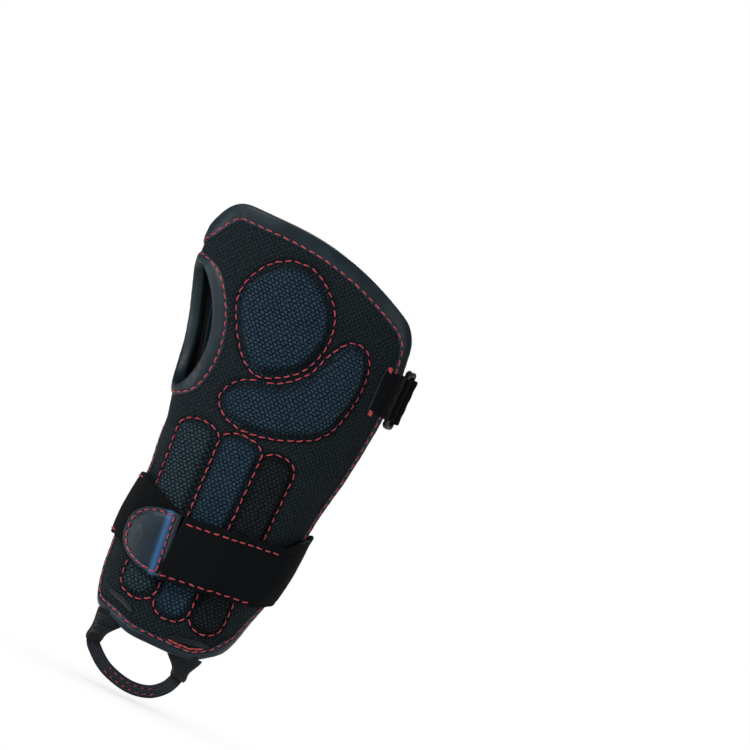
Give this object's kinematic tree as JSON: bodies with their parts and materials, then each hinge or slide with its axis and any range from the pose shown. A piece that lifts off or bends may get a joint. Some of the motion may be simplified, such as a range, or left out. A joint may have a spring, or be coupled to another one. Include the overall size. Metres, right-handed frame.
{
  "type": "wrist guard",
  "caption": "Slip-on palm-side wrist guard with padded palm panel, thumb hole, stiffening plates, wrist and hand straps, and a pull loop.",
  "frame": {"origin": "centre of the wrist, on the middle of the forearm's thickness", "axes": "+Z to the fingers, +X to the little-finger side, palm faces -Y"},
  "size_m": [0.1163, 0.0575, 0.2242],
  "materials": {
    "mesh_fabric": "woven mesh, matte",
    "pad_mesh": "coarse raised mesh, matte",
    "pu_leather": "soft synthetic leather, low sheen",
    "lining_fabric": "brushed lining, matte",
    "foam": "open cell foam",
    "stretch_fabric": "stretch knit, matte",
    "loop_fabric": "brushed loop fabric",
    "hook_tape": "moulded hook tape",
    "webbing": "woven webbing",
    "rubber_pad": "soft rubber",
    "plate_plastic": "satin plastic",
    "ring_plastic": "satin moulded plastic",
    "thread": "sewing thread"
  },
  "bodies": {
    "shell": {"palm_cover": "mesh_fabric", "palm_foam": "foam", "palm_lining": "lining_fabric", "back_panel": "stretch_fabric", "palm_edge_binding": "pu_leather", "thumb_hole_binding": "pu_leather", "back_top_tape": "webbing", "back_forearm_tape": "webbing", "upper_rubber_pad": "rubber_pad", "lower_rubber_pad": "rubber_pad", "upper_pad_cover": "pad_mesh", "lower_pad_cover": "pad_mesh", "radial_plate": "plate_plastic", "middle_plate": "plate_plastic", "ulnar_plate": "plate_plastic", "radial_plate_pocket": "pad_mesh", "middle_plate_pocket": "pad_mesh", "ulnar_plate_pocket": "pad_mesh", "wrist_strap_band": "loop_fabric", "hand_strap_band": "loop_fabric", "ring_keeper": "webbing", "pull_loop_anchors": "pu_leather", "loop_slot_welts": "pu_leather", "bar_tacks": "thread"},
    "wrist_flap": {"wrist_strap_flap": "loop_fabric", "wrist_strap_hook": "hook_tape"},
    "wrist_tab": {"wrist_strap_tab": "pu_leather"},
    "ring": {"hand_ring": "ring_plastic", "hand_strap_turn": "loop_fabric"},
    "hand_flap": {"hand_strap_flap": "loop_fabric", "hand_strap_hook": "hook_tape"},
    "hand_tab": {"hand_strap_tab": "pu_leather"},
    "pull_loop": {"pull_loop_webbing": "webbing", "pull_loop_legs": "pu_leather"}
  },
  "joints": [
    {"name": "wrist_strap_open", "type": "hinge", "parent": "shell", "child": "wrist_flap", "pos_m": [0.03894, -0.00095, -0.031], "axis": [0.106, 0.0011, 0.9944], "range_deg": [0, 130]},
    {"name": "wrist_tab_lift", "type": "hinge", "parent": "wrist_flap", "child": "wrist_tab", "pos_m": [-0.01783, -0.03175, -0.0452], "axis": [0, 0, 1], "range_deg": [0, 45]},
    {"name": "ring_swing", "type": "hinge", "parent": "shell", "child": "ring", "pos_m": [0.0484, 0.00362, 0.058], "axis": [0, 0, -1], "range_deg": [0, 30]},
    {"name": "hand_strap_open", "type": "hinge", "parent": "ring", "child": "hand_flap", "pos_m": [0.05056, 0.01028, 0.058], "axis": [0, 0, -1], "range_deg": [0, 120]},
    {"name": "hand_tab_lift", "type": "hinge", "parent": "hand_flap", "child": "hand_tab", "pos_m": [-0.03235, 0.02166, 0.0624], "axis": [0, 0, -1], "range_deg": [0, 45]},
    {"name": "pull_loop_swing", "type": "hinge", "parent": "shell", "child": "pull_loop", "pos_m": [-0.008, -0.0205, -0.091], "axis": [1, 0, 0], "range_deg": [-60, 60]}
  ]
}
